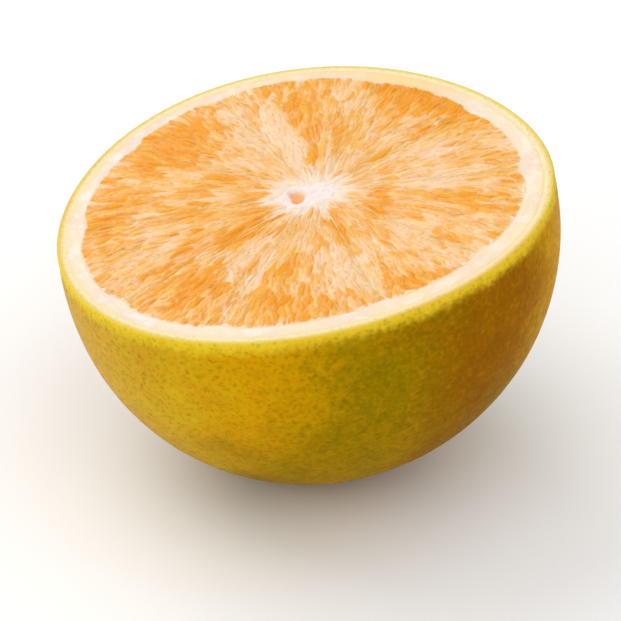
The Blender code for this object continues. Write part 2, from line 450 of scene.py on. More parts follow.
def ring_faces(rows, columns):
    """Quads of a grid whose rows close on themselves, and a fan to a pole at either end: the two poles come
    last."""
    index = np.arange(rows * columns).reshape(rows, columns)
    right = np.roll(index, -1, axis=1)
    quads = np.stack([index[:-1], right[:-1], right[1:], index[1:]], axis=-1).reshape(-1, 4)
    first_pole = np.full(columns, rows * columns)
    start_fan = np.stack([first_pole, right[0], index[0]], axis=-1)
    end_fan = np.stack([first_pole + 1, index[-1], right[-1]], axis=-1)
    return quads, np.concatenate([start_fan, end_fan])


def with_poles(values, start, end):
    """The values of a grid as one row, with those of its two poles behind."""
    flat = values.reshape(-1, *values.shape[2:])
    return np.concatenate([flat, np.array([start, end], float)])


# Materials


class Number:
    """A number that varies over a surface. It wraps a socket, and an expression on it adds Math nodes."""

    def __init__(self, finish, socket):
        self.finish = finish
        self.socket = socket

    def maths(self, operation, first, second):
        return self.finish.node("ShaderNodeMath", "Value", {"operation": operation}, {0: first, 1: second})

    def __add__(self, other):
        return self.maths("ADD", self, other)

    def __radd__(self, other):
        return self.maths("ADD", other, self)

    def __sub__(self, other):
        return self.maths("SUBTRACT", self, other)

    def __rsub__(self, other):
        return self.maths("SUBTRACT", other, self)

    def __mul__(self, other):
        return self.maths("MULTIPLY", self, other)

    def __rmul__(self, other):
        return self.maths("MULTIPLY", other, self)


class Finish:
    """A material under construction: its node tree, its shader, and the few ways in which nodes are added."""

    def __init__(self, name, **constants):
        self.material = bpy.data.materials.new(name)
        self.material.use_nodes = True
        self.tree = self.material.node_tree
        self.shader = self.tree.nodes["Principled BSDF"]
        for socket, value in constants.items():
            self.shader.inputs[socket.replace("_", " ")].default_value = value

    def fill(self, socket, value):
        """Links a socket to a Number, or sets it."""
        if isinstance(value, Number):
            self.tree.links.new(value.socket, socket)
        else:
            socket.default_value = value

    def node(self, kind, output, settings, values):
        """Adds a node: its settings first, then the values or links of its sockets, by name or place."""
        made = self.tree.nodes.new(kind)
        for setting, value in settings.items():
            setattr(made, setting, value)
        sockets = {socket.identifier: socket for socket in made.inputs}
        for place, value in values.items():
            self.fill(made.inputs[place] if isinstance(place, int) else sockets[place], value)
        return Number(self, next(socket for socket in made.outputs if socket.identifier == output))

    def mark(self, name, output="Fac"):
        """A number kept at the mesh's points."""
        return self.node("ShaderNodeAttribute", output, {"attribute_name": name}, {})

    def place(self):
        """The point's own place, in metres."""
        return self.node("ShaderNodeTexCoord", "Object", {}, {})

    def clouds(self, place, size, detail):
        """Soft noise of 0 to 1 with patches of that size."""
        values = {"Vector": place, "Scale": 1 / size, "Detail": detail}
        return self.node("ShaderNodeTexNoise", "Fac", {}, values)

    def strokes(self, place, sizes, detail):
        """Soft noise of 0 to 1 with patches of a size of its own along each axis."""
        scale = tuple(1 / size for size in sizes)
        stretched = self.node("ShaderNodeMapping", "Vector", {}, {"Vector": place, "Scale": scale})
        return self.clouds(stretched, 1.0, detail)

    def cells(self, place, size):
        """Distance to the nearest of points strewn that far apart, in spacings."""
        return self.node("ShaderNodeTexVoronoi", "Distance", {}, {"Vector": place, "Scale": 1 / size})

    def between(self, value, low, high):
        """0 below low, 1 above high, and eased between them."""
        values = {"Value": value, "From Min": low, "From Max": high}
        return self.node("ShaderNodeMapRange", "Result", {"interpolation_type": "SMOOTHSTEP"}, values)

    def blend(self, mask, under, over):
        """The colour under where the mask is 0, and the colour over where it is 1."""
        values = {"Factor_Float": mask, "A_Color": under, "B_Color": over}
        return self.node("ShaderNodeMix", "Result_Color", {"data_type": "RGBA"}, values)

    def bump(self, height, distance, strength):
        """Feeds the shader's normal with a height, in units of distance."""
        values = {"Height": height, "Distance": distance, "Strength": strength}
        self.fill(self.shader.inputs["Normal"], self.node("ShaderNodeBump", "Normal", {}, values))

    def paint(self, **values):
        """Feeds the shader's sockets with what varies over the surface."""
        for socket, value in values.items():
            self.fill(self.shader.inputs[socket.replace("_", " ")], value)


def colour(red, green, blue):
    """A colour given as red, green and blue of 0 to 255 on a screen, as light: the screen's curve undone."""
    screen = np.array([red, green, blue]) / 255
    light = np.where(screen <= 0.04045, screen / 12.92, ((screen + 0.055) / 1.055) ** 2.4)
    return (*(float(part) for part in light), 1.0)


def peel_finish():
    """Waxy skin, golden with lime, olive and russet patches, a faint pale painted sheen on the left flank and
    fine oil pores; the olive and russet are partly painted shade. Along the cut it pales inwards."""
    finish = Finish("peel skin", IOR=1.45, Specular_IOR_Level=0.01)
    place = finish.place()
    marks = ("lime", "olive_and_shade", "russet_and_shade", "depth", "pore", "rim", "painted_sheen")
    lime, olive_and_shade, russet_and_shade, depth, pit, rim, painted_sheen = (finish.mark(name) for name in marks)

    mottle = finish.clouds(place, 4.5 * MM, 4)
    blotch = finish.clouds(place, 1.8 * MM, 3)
    fine = finish.clouds(place, 0.7 * MM, 3)
    grain = finish.clouds(place, 0.8 * MM, 2)
    speck = finish.between(finish.cells(place, 0.85 * MM), 0.1, 0.42)
    stray = 0.35 * (mottle - 0.5) + 0.6 * (blotch - 0.5) + 0.5 * (fine - 0.5)

    gold = finish.blend(mottle, colour(200, 138, 0), colour(222, 168, 2))
    # Russet and dull olive are partly real colour and partly painted shade, made darker for the right side
    # and the bottom.
    rusty_and_shaded = finish.blend(mottle, colour(130, 76, 0), colour(168, 106, 0))
    dull_and_shaded = finish.blend(mottle, colour(116, 98, 0), colour(150, 124, 0))
    fresh = finish.blend(mottle, colour(186, 152, 2), colour(220, 188, 12))
    skin = finish.blend(finish.between(russet_and_shade + stray, 0.0, 1.0), gold, rusty_and_shaded)
    skin = finish.blend(finish.between(olive_and_shade + stray, 0.0, 1.1), skin, dull_and_shaded)
    skin = finish.blend(finish.between(lime + stray, 0.1, 1.0), skin, fresh)
    skin = finish.blend(0.18 * finish.between(grain, 0.45, 0.85), skin, colour(216, 176, 16))
    skin = finish.blend(0.35 * finish.between(1 - grain, 0.5, 0.8), skin, colour(114, 88, 0))
    lit = 0.85 * finish.between(rim + stray + 0.4 * (grain - 0.5), 0.15, 1.15)
    skin = finish.blend(lit, skin, colour(242, 204, 48))
    # Painted sheen: the left flank is paled where the lamps' light glances off the wax.
    skin = finish.blend(painted_sheen * (0.35 + 0.9 * grain), skin, colour(226, 198, 116))
    skin = finish.blend(0.22 * (1 - speck) + 0.2 * pit, skin, colour(124, 98, 0))

    gland = 1 - finish.between(finish.cells(place, 0.62 * MM), 0.18, 0.4)
    ragged = depth + 0.22 * (fine - 0.5)
    bright = finish.blend(finish.between(ragged, 0.1, 0.6), colour(226, 200, 96), colour(243, 224, 168))
    ochre = finish.blend(finish.between(ragged, 0.1, 0.6), colour(226, 186, 88), colour(243, 214, 152))
    rind = finish.blend(finish.between(russet_and_shade, -0.3, 0.5), bright, ochre)
    rind = finish.blend(0.35 * gland, rind, colour(214, 184, 66))
    rind = finish.blend(finish.between(ragged, 0.35, 0.95), rind, colour(242, 226, 194))
    whole = finish.blend(finish.between(depth, 0.0, 0.14), skin, rind)

    finish.paint(Base_Color=whole, Roughness=0.34 + 0.12 * fine + 0.12 * (1 - speck))
    finish.bump(speck + 0.35 * fine, 0.1 * MM, 0.9)
    return finish.material


def pith_finish():
    """Matt white pith, faintly pink and yellow by patches, with a felt of fine fibres."""
    finish = Finish(
        "white pith", IOR=1.4,
        Subsurface_Weight=0.25, Subsurface_Scale=0.8 * MM, Subsurface_Radius=(1.0, 0.7, 0.45),
    )
    place = finish.place()
    wide = finish.clouds(place, 7 * MM, 2)
    felt = finish.clouds(place, 0.35 * MM, 4)
    strands = finish.strokes(finish.mark("way", "Vector"), (0.5 * MM, 2.2 * MM, MM), 3)
    pale = finish.clouds(place, 3.5 * MM, 3)
    tissue = finish.blend(finish.between(wide, 0.35, 0.65), colour(241, 226, 198), colour(239, 216, 204))
    tissue = finish.blend(0.7 * finish.between(pale, 0.48, 0.66), tissue, colour(246, 240, 234))
    tissue = finish.blend(0.35 * finish.between(felt, 0.45, 0.75), tissue, colour(236, 204, 152))
    tissue = finish.blend(0.35 * finish.between(strands, 0.5, 0.7), tissue, colour(246, 240, 232))
    tissue = finish.blend(0.7 * finish.mark("wet"), tissue, colour(244, 210, 158))
    tissue = finish.blend(0.75 * finish.mark("warm"), tissue, colour(242, 206, 136))
    tissue = finish.blend(0.6 * finish.mark("stain") * (0.4 + felt), tissue, colour(240, 212, 110))
    finish.paint(Base_Color=tissue, Roughness=0.55 + 0.2 * felt)
    finish.bump(felt + 0.6 * strands, 0.06 * MM, 0.7)
    return finish.material


def pulp_finish():
    """Wet juice sacs: deep orange where they are clear, peach where they are clouded, with pale skins between
    them and pale hairs. The peach and pale parts are partly painted sheen of the wet surface, and darker
    streaks are painted shade in the grooves between the sacs."""
    finish = Finish(
        "wet pulp", IOR=1.36, Coat_Weight=0.45, Coat_Roughness=0.08, Coat_IOR=1.36, Specular_IOR_Level=0.1,
        Subsurface_Weight=0.35, Subsurface_Scale=1.0 * MM, Subsurface_Radius=(1.0, 0.5, 0.2),
    )
    place = finish.place()
    way = finish.mark("way", "Vector")
    edge, tone, cloud_and_sheen, border = (finish.mark(name) for name in ("edge", "tone", "cloud_and_sheen", "border"))

    streaks = finish.strokes(way, (3.6 * MM, 0.5 * MM, MM), 3)
    near = finish.mark("near")
    far_hairs = finish.strokes(way, (2.6 * MM, 0.2 * MM, MM), 2)
    near_hairs = finish.strokes(way, (2.6 * MM, 0.55 * MM, MM), 2)
    hairs = near * near_hairs + (1 - near) * far_hairs
    grains = finish.clouds(place, 0.5 * MM, 3)

    # Painted shade: darker streaks stand for the shade in the grooves between the sacs.
    groove_shade_streaks = finish.strokes(way, (1.5 * MM, 0.42 * MM, 2 * MM), 2)
    # Paleness of clouded sacs: partly their own clouding, partly painted sheen of the wet surface.
    cloud_and_sheen_level = 0.85 * cloud_and_sheen + 0.05 + 1.1 * (tone - 0.3) + 0.9 * (streaks - 0.5) + 0.9 * (grains - 0.5)
    flesh = finish.blend(finish.between(cloud_and_sheen_level, -0.1, 0.9), colour(239, 154, 8), colour(242, 182, 78))
    flesh = finish.blend(0.75 * finish.between(cloud_and_sheen_level, 0.6, 1.4), flesh, colour(246, 207, 166))
    flesh = finish.blend(0.5 * finish.between(hairs + 0.32 * cloud_and_sheen, 0.64, 0.81), flesh, colour(248, 215, 184))
    groove_shade = (0.34 + 0.4 * near) * finish.between(groove_shade_streaks, 0.54, 0.68)
    flesh = finish.blend(groove_shade, flesh, colour(182, 122, 68))
    skins = edge * (0.15 + 0.85 * finish.between(streaks + 0.5 * cloud_and_sheen, 0.45, 0.9))
    flesh = finish.blend(0.5 * skins, flesh, colour(246, 212, 180))
    inner = border + 0.7 * (hairs - 0.5) + 0.5 * (tone - 0.5)
    flesh = finish.blend(0.8 * finish.between(inner, 0.4, 0.9), flesh, colour(247, 226, 206))
    finish.paint(Base_Color=flesh, Roughness=0.22 + 0.25 * grains)
    finish.bump(grains + 0.5 * hairs, 0.07 * MM, 0.9)
    return finish.material


def wall_finish():
    """The thin skins between segments: pale, moist, a little clouded by the pulp behind them."""
    finish = Finish(
        "segment wall", IOR=1.38, Specular_IOR_Level=0.25,
        Subsurface_Weight=0.2, Subsurface_Scale=0.5 * MM, Subsurface_Radius=(1.0, 0.6, 0.3),
    )
    place = finish.place()
    patch = finish.clouds(place, 1.8 * MM, 3)
    fine = finish.clouds(place, 0.3 * MM, 2)
    tissue = finish.blend(finish.between(patch, 0.35, 0.7), colour(240, 176, 80), colour(244, 202, 150))
    tissue = finish.blend(0.8 * finish.mark("inward"), tissue, colour(247, 226, 206))
    finish.paint(Base_Color=tissue, Roughness=0.35 + 0.2 * fine)
    finish.bump(fine, 0.05 * MM, 0.6)
    return finish.material


def core_finish():
    """The spongy white middle, faintly pink, stained orange in its pit."""
    finish = Finish(
        "white core", IOR=1.4,
        Subsurface_Weight=0.3, Subsurface_Scale=0.8 * MM, Subsurface_Radius=(1.0, 0.7, 0.5),
    )
    place = finish.place()
    sponge = finish.cells(place, 0.42 * MM)
    patch = finish.clouds(place, 1.3 * MM, 3)
    tissue = finish.blend(finish.between(patch, 0.35, 0.65), colour(247, 234, 226), colour(246, 222, 220))
    tissue = finish.blend(0.3 * (1 - finish.between(sponge, 0.1, 0.5)), tissue, colour(243, 212, 180))
    tissue = finish.blend(finish.mark("wet"), tissue, colour(243, 178, 118))
    finish.paint(Base_Color=tissue, Roughness=0.5 + 0.2 * patch)
    finish.bump(sponge + 0.5 * patch, 0.1 * MM, 0.8)
    return finish.material


# Shapes


def make_peel():
    """The coloured skin as a closed bowl. Rows go up the outside of the ball, round the knife's edge, in
    across the cut, and down an inner ball to the pole. The outside sinks by soft lumps, by pores strewn over
    it, and by a small scar at the pole."""
    columns, outer_rows, edge_rows, cut_rows, inner_rows = 560, 144, 6, 9, 12
    angle = np.linspace(0, math.tau, columns, endpoint=False)
    cut = CUT_HEIGHT - 0.5 * TRIM
    top = cut - CUT_EDGE

    latitude = np.linspace(-math.pi / 2, math.asin(top / HALF_LENGTH), outer_rows + 1)[1:]
    height, around = np.meshgrid(HALF_LENGTH * np.sin(latitude), angle, indexing="ij")
    outside = lift(polar(ball_radius(around, height) - TRIM, around), height)
    outward = outside / np.array([EQUATOR_RADIUS, EQUATOR_RADIUS, HALF_LENGTH]) ** 2
    outward /= np.linalg.norm(outward, axis=-1, keepdims=True)
    pit = 1 - ease(pores(outside, PORE_SPACING, 11) / PORE_WIDTH)
    lumps = 0.5 + layers(outside, LUMPS)
    from_pole = np.linalg.norm(outside[..., :2], axis=-1)
    scar = np.exp(-((from_pole / SCAR_WIDTH) ** 2))
    near_cut = ease((height - top + SMOOTH_RIM) / SMOOTH_RIM)
    sink = (LUMP_DEPTH * lumps + PORE_DEPTH * pit) * (1 - near_cut) + SCAR_DEPTH * scar
    outside -= outward * sink[..., None]

    bend, around = np.meshgrid(np.linspace(0, math.pi / 2, edge_rows + 1)[1:], angle, indexing="ij")
    rim = FACE_RADIUS * lobe(around) - TRIM
    edge = lift(polar(rim - CUT_EDGE * (1 - np.cos(bend)), around), top + CUT_EDGE * np.sin(bend))

    steps = np.linspace(CUT_EDGE, SKIN_THICKNESS, cut_rows + 1)[1:]
    inwards, around = np.meshgrid(steps, angle, indexing="ij")
    strip = lift(polar(FACE_RADIUS * lobe(around) - TRIM - inwards, around), cut)
    glands = 1 - ease(pores(strip, GLAND_SPACING, 31) / GLAND_WIDTH)
    strip[..., 2] -= GLAND_DEPTH * glands * ease(2 - inwards / GLAND_REACH) + STRIP_SINK
    strip[..., 2] -= STRIP_DIP * ease(1 + (inwards - SKIN_THICKNESS) / SKIN_OVERLAP)

    start = math.asin((CUT_HEIGHT - SIDE_START) / HALF_LENGTH)
    latitude = np.linspace(start, -math.pi / 2, inner_rows + 1)[:-1]
    height, around = np.meshgrid((HALF_LENGTH - SKIN_THICKNESS) * np.sin(latitude), angle, indexing="ij")
    inside = lift(polar(ball_radius(around, height, SKIN_THICKNESS), around), height)

    grid = np.concatenate([outside, edge, strip, inside])
    depth = np.concatenate([
        np.zeros(outside.shape[:2]),
        CUT_EDGE * (1 - np.cos(bend)) / SKIN_THICKNESS,
        inwards / SKIN_THICKNESS,
        np.ones(inside.shape[:2]),
    ])
    pit = np.concatenate([pit * (1 - near_cut), np.zeros((len(grid) - outer_rows, columns))])

    # Lime lies along the rim and left of the front, olive low down and right of the front, russet further
    # right, and a pale painted sheen on the left. The olive and russet are partly painted shade, darker to
    # the right and towards the bottom. What depends on the angle fades out towards the pole.
    around = np.arctan2(grid[..., 1], grid[..., 0])
    height = grid[..., 2]
    sides = ease(np.linalg.norm(grid[..., :2], axis=-1) / POLE_FADE)
    patch = layers(grid, UNEVEN)
    under_rim = ease((height - CUT_HEIGHT + LIME_BAND) / LIME_BAND)
    low = ease((-height - OLIVE_AND_SHADE_START) / OLIVE_AND_SHADE_FADE)
    rim = np.clip((height - CUT_HEIGHT + LIGHT_BAND) / LIGHT_FADE, 0, 1) + 0.8 * patch * under_rim
    lime = 0.85 * under_rim + sides * bells(around, LIME) * (1 - 0.6 * low) + patch
    # Painted shade in part: olive and russet make the skin darker to the right and towards the bottom.
    olive_and_shade = sides * (bells(around, OLIVE_AND_SHADE_HIGH) * (1 - low) + bells(around, OLIVE_AND_SHADE))
    olive_and_shade += 0.75 * low * (1 - sides * bells(around, OLIVE_AND_SHADE_THIN)) - patch
    russet_and_shade = sides * bells(around, RUSSET_AND_SHADE) + patch - 0.4 * under_rim
    # Painted sheen: a pale patch on the left flank stands for the lamps' light glancing off it.
    painted_sheen = sides * bells(around, PAINTED_SHEEN) * (1 - under_rim)

    poles = lift(np.zeros((2, 2)), np.array([-HALF_LENGTH + POLE_SINK, -HALF_LENGTH + SKIN_THICKNESS]))
    points = with_poles(grid, *poles)
    marks = {
        "depth": with_poles(depth, 0, 1),
        "pore": with_poles(pit, 0, 0),
        "lime": with_poles(lime, 0, 0),
        "olive_and_shade": with_poles(olive_and_shade, 1, 1),
        "russet_and_shade": with_poles(russet_and_shade, 0, 0),
        "rim": with_poles(rim, 0, 0),
        "painted_sheen": with_poles(painted_sheen, 0, 0),
    }
    quads, fans = ring_faces(len(grid), columns)
    make_piece("peel", points, quads, fans, peel_finish(), marks)


def make_pith():
    """The white layer as a closed bowl inside the skin. Rows go up its outside, in across the cut to the
    scalloped border of the pulp, and down its inside. Fibres and soft lumps stand out on the cut. It is
    warmer at the back and a little at the front."""
    columns, outer_rows, cut_rows, inner_rows = 640, 10, 40, 12
    turn = np.arange(columns) * SEGMENTS / columns
    angle = turn_angle(turn)
    tuck = SKIN_THICKNESS - SKIN_OVERLAP

    end = math.asin((CUT_HEIGHT - SIDE_START) / HALF_LENGTH)
    latitude = np.linspace(-math.pi / 2, end, outer_rows + 1)[1:]
    height, around = np.meshgrid((HALF_LENGTH - tuck) * np.sin(latitude), angle, indexing="ij")
    outside = lift(polar(ball_radius(around, height, tuck), around), height)

    share = np.linspace(0, 1, cut_rows)[:, None, None]
    rim = polar(FACE_RADIUS * lobe(angle) - tuck, angle)
    inner = pulp_edge(turn) * (1 - PITH_LAP / FACE_RADIUS)
    flat = rim * (1 - share) + inner * share
    to_pulp = np.linalg.norm(flat - inner, axis=-1)
    to_rim = np.linalg.norm(flat - rim, axis=-1)
    sink = PITH_BASE + PITH_SINK * ease(to_rim / PITH_SLOPE) + UNDER_SKIN * (1 - ease(to_rim / SKIN_OVERLAP))
    dip = PITH_DIP * (1 - ease(to_pulp / DIP_WIDTH))
    cut = lift(flat, CUT_HEIGHT - sink - dip + FELT_HEIGHT * layers(lift(flat, 0.0), FELT))

    drop = np.linspace(0, 1, inner_rows + 1)[1:, None]
    bowl = HALF_LENGTH - PITH_FLOOR
    shrink = np.cos(drop * math.pi / 2) * 0.98 + 0.02
    inside = lift(inner * shrink[..., None], CUT_HEIGHT - PITH_START - bowl * np.sin(drop * math.pi / 2))

    grid = np.concatenate([outside, cut, inside])
    wet = np.concatenate([
        np.zeros(outside.shape[:2]), 0.8 * (1 - ease(to_pulp / WET_EDGE)), np.ones(inside.shape[:2])
    ])
    stain = np.concatenate([
        np.ones(outside.shape[:2]), 1 - ease(to_rim / STAINED_EDGE), np.zeros(inside.shape[:2])
    ])
    around = np.broadcast_to(angle, grid.shape[:2])
    way = np.stack([np.linalg.norm(grid[..., :2], axis=-1), around * FACE_RADIUS, grid[..., 2]], axis=-1)
    poles = lift(np.zeros((2, 2)), np.array([-HALF_LENGTH + tuck, CUT_HEIGHT - PITH_FOOT - bowl]))
    marks = {
        "wet": with_poles(wet, 0, 1),
        "stain": with_poles(stain, 1, 0),
        "warm": with_poles(bells(around, WARM), 0, 0),
        "way": with_poles(way, (0, 0, 0), (0, 0, 0)),
    }
    quads, fans = ring_faces(len(grid), columns)
    make_piece("pith", with_poles(grid, *poles), quads, fans, pith_finish(), marks)


def strew_sacs(index, chance):
    """Middles of a segment's juice sacs with their breadth, tilt and length: belts from the pith in to the
    core, whose length grows by an exponential, each with as many abreast as fit, all moved by a random draw.
    The belts end where the exponential comes to a share of 1."""
    middle = np.array([index + 0.5])
    length = np.linalg.norm(on_cut(middle, np.zeros(1)) - on_cut(middle, np.ones(1)))
    last_belt = 2 * math.log(5 / 3) * length / SAC_LENGTH
    rows = []
    for belt in np.arange(FIRST_BELT, last_belt, BELT_STEP):
        share = np.array([1.5 * (math.exp(0.5 * belt * SAC_LENGTH / length) - 1)])
        long = SAC_LENGTH * (0.75 + 0.5 * share)
        width = from_core(on_cut(middle, share))[0] * math.tau / SEGMENTS
        count = max(3, round(width / SAC_BREADTH * chance.uniform(0.9, 1.1)))
        turns = np.arange(-1, count + 1) + chance.uniform(0.3, 0.7)
        turns = (turns + chance.uniform(-0.35, 0.35, count + 2)) / count
        shares = share + chance.uniform(-0.55, 0.55, count + 2) * long / length
        breadths = width / count * chance.uniform(0.75, 1.3, count + 2)
        tilts = chance.normal(0, 0.08 + 0.24 * (1 - share), count + 2)
        lengths = long * chance.uniform(0.7, 1.3, count + 2)
        rows.append(np.stack([index + turns, np.clip(shares, 0, 1), breadths, tilts, lengths], -1))
    return np.concatenate(rows)


def sac_field(flat, index, chance):
    """For each point, how far it is inside its juice sac (0 on the sac's skin, about 1 in its middle), the
    same in metres, and which sac that is; then the middles of all. Distance is measured in sac lengths along
    the sac and in breadths across it, where the breadth tapers towards the core, and the nearest two middles
    are compared. The points are first swayed by noise."""
    sacs = strew_sacs(index, chance)
    middles = on_cut(sacs[:, 0], sacs[:, 1])
    outward = middles - CORE_AT
    outward /= np.linalg.norm(outward, axis=-1, keepdims=True)
    tilt = sacs[:, 3]
    east = outward[:, 0] * np.cos(tilt) - outward[:, 1] * np.sin(tilt)
    north = outward[:, 0] * np.sin(tilt) + outward[:, 1] * np.cos(tilt)
    away = (flat + sway(flat, SAC_SWAY))[:, None] - middles
    along = (away[..., 0] * east + away[..., 1] * north) / sacs[:, 4]
    aside = (away[..., 1] * east - away[..., 0] * north) / (sacs[:, 2] * (1 + 0.35 * np.clip(along, -1, 1)))
    reach = np.hypot(along, aside)
    nearest = np.argsort(reach, axis=1)[:, :2]
    first, second = np.take_along_axis(reach, nearest, axis=1).T
    inside, sac = second - first, nearest[:, 0]
    return inside, 0.5 * inside * sacs[sac, 2], sac, middles


def cloud_and_sheen_at(flat):
    """How pale the pulp is, partly by clouding and partly by painted sheen of the wet surface: noise of two
    sizes, more beside the core, and the sum of PATCHES, each a bell that is longer or shorter along the way
    to the core than across it."""
    total = 0.45 + layers(lift(flat, 0.0), CLOUD_AND_SHEEN_NOISE)
    total += 0.55 * (1 - ease((from_core(flat) - CLOUD_AND_SHEEN_START) / CLOUD_AND_SHEEN_FADE))
    for east, north, along_reach, across_reach, strength in PATCHES:
        middle = np.array([east, north]) * MM
        way = middle - CORE_AT
        way /= np.linalg.norm(way)
        away = (flat - middle) / MM
        along = (away @ way) / along_reach
        aside = (away @ np.array([-way[1], way[0]])) / across_reach
        total = total + strength * np.exp(-(along**2) - aside**2)
    return total


def make_segment(index, finish):
    """One segment as a closed wedge: the cut on top as a fine grid, and rings from its border down to the
    bottom of the bowl. The cut is a low cushion with rounded shoulders, on which every sac swells by its own
    amount; some were opened by the knife and are hollow."""
    columns, rows, ring_rows = 190, 190, 8
    chance = np.random.default_rng(SAC_SEED + index)
    share, aside = np.meshgrid(np.linspace(-PULP_TUCK, 1, rows), np.linspace(0, 1, columns), indexing="ij")
    middle = on_cut(np.full(rows, index + 0.5), share[:, 0])
    breadth = from_core(middle) * math.tau / SEGMENTS
    margin = (0.5 * SEGMENT_GAP / breadth)[:, None]
    turn = index + margin + aside * (1 - 2 * margin)
    flat = on_cut(turn, share)
    to_wall = np.minimum(aside, 1 - aside) * breadth[:, None]
    to_pith = np.linalg.norm(flat - pulp_edge(turn), axis=-1) * np.sign(share)
    to_core = np.linalg.norm(flat - core_edge(turn), axis=-1)

    *fields, middles = sac_field(flat.reshape(-1, 2), index, chance)
    inside, to_skin, sac = (field.reshape(rows, columns) for field in fields)
    count = len(middles)
    fullness = chance.uniform(-0.5, 1.0, count)[sac]
    opened = (chance.random(count) < OPENED)[sac]
    tone = chance.uniform(0, 1, count)[sac]

    pillow = 1 - (1 - np.clip(inside / 0.75, 0, 1)) ** 2
    hollow = np.where(opened, 0.9 * ease((inside - 0.15) / 0.5), 0)
    spot = lift(flat, 0.0)
    swell = SAC_RELIEF * (1.7 * pillow * (1 + 0.5 * fullness) - hollow - 1.0) + layers(spot, RIPPLE)
    shoulder = np.minimum(to_wall / WALL_SHOULDER, to_pith / PITH_SHOULDER)
    rounded = np.sqrt(1 - (1 - np.clip(shoulder, 0, 1)) ** 2)
    rise = np.minimum(ease(share / OUTER_RISE), ease((1 - share) / INNER_RISE))
    cushion = BULGE * ease(across(turn) / SHOULDER_WIDTH) * rise
    calm = ease(to_core / CALM_REACH) * 0.8 + 0.2
    tuck = ease((TUCK_START - to_pith + layers(spot, TUCK_RAGS)) / TUCK_WIDTH)
    tip = 1 - ease(to_core / TIP_REACH)
    relief = cushion + swell * rounded * calm - SHOULDER_SINK * (1 - rounded) - PULP_SINK
    relief -= PITH_TUCK * tuck + CORE_TUCK * tip
    top = lift(flat, CUT_HEIGHT + relief)

    border = np.concatenate([top[0, :-1], top[:-1, -1], top[-1, :0:-1], top[:0:-1, 0]])
    centre = np.mean(top[:, columns // 2, :2], axis=0)
    drop = np.linspace(0, 1, ring_rows + 1)[1:, None]
    closing = (0.96 * drop**2.2)[..., None]
    ring_flat = border[:, :2] * (1 - closing) + centre * closing
    out = np.linalg.norm(ring_flat, axis=-1) / (FACE_RADIUS - PEEL)
    floor = CUT_HEIGHT - (HALF_LENGTH - PULP_FLOOR) * np.sqrt(np.clip(1 - out**2, 0.002, 1))
    sunk = np.sin(drop * math.pi / 2)
    rings = lift(ring_flat, border[:, 2] * (1 - sunk) + floor * sunk)
    bottom = lift(centre, rings[-1, :, 2].min())

    grid = np.arange(rows * columns).reshape(rows, columns)
    quads = np.stack([grid[:-1, :-1], grid[:-1, 1:], grid[1:, 1:], grid[1:, :-1]], axis=-1).reshape(-1, 4)
    outline = np.concatenate([grid[0, :-1], grid[:-1, -1], grid[-1, :0:-1], grid[:0:-1, 0]])
    lower = rows * columns + np.arange(len(rings) * len(outline)).reshape(len(rings), -1)
    levels = np.concatenate([outline[None], lower])
    after = np.roll(levels, -1, axis=1)
    sides = np.stack([after[:-1], levels[:-1], levels[1:], after[1:]], axis=-1).reshape(-1, 4)
    pole = np.full(len(outline), lower[-1, -1] + 1)
    fans = np.stack([after[-1], levels[-1], pole], axis=-1)
    points = np.concatenate([top.reshape(-1, 3), rings.reshape(-1, 3), bottom[None]])

    # How pale each point is: partly the sacs' clouding, partly painted sheen of the wet surface.
    cloud_and_sheen = 0.35 * cloud_and_sheen_at(flat) + 0.65 * cloud_and_sheen_at(middles)[sac]
    edge = 1 - ease(to_skin / SKIN_LINE)
    pale = np.maximum(1 - to_pith / PALE_AT_PITH, 1.15 - to_core / PALE_AT_CORE).clip(0, 1)
    near = 1 - ease(from_core(flat) / COARSE_REACH)
    swayed = flat + sway(flat, HAIR_SWAY)
    angle = np.arctan2(swayed[..., 1] - CORE_AT[1], swayed[..., 0] - CORE_AT[0])
    moved = np.full(angle.shape, index * HAIR_SHIFT)
    way = np.stack([from_core(swayed), angle * HAIR_RADIUS, moved], axis=-1)
    hidden = len(points) - rows * columns
    shown = {
        "edge": (edge, 0), "tone": (tone, 0.5), "cloud_and_sheen": (cloud_and_sheen, 0.5), "border": (pale, 0), "near": (near, 0),
    }
    marks = {mark: np.append(values, np.full(hidden, rest)) for mark, (values, rest) in shown.items()}
    marks["way"] = np.concatenate([way.reshape(-1, 3), np.zeros((hidden, 3))])
    quads = np.concatenate([quads, sides])
    make_piece(f"segment_{index + 1:02d}", points, quads, fans, finish, marks)


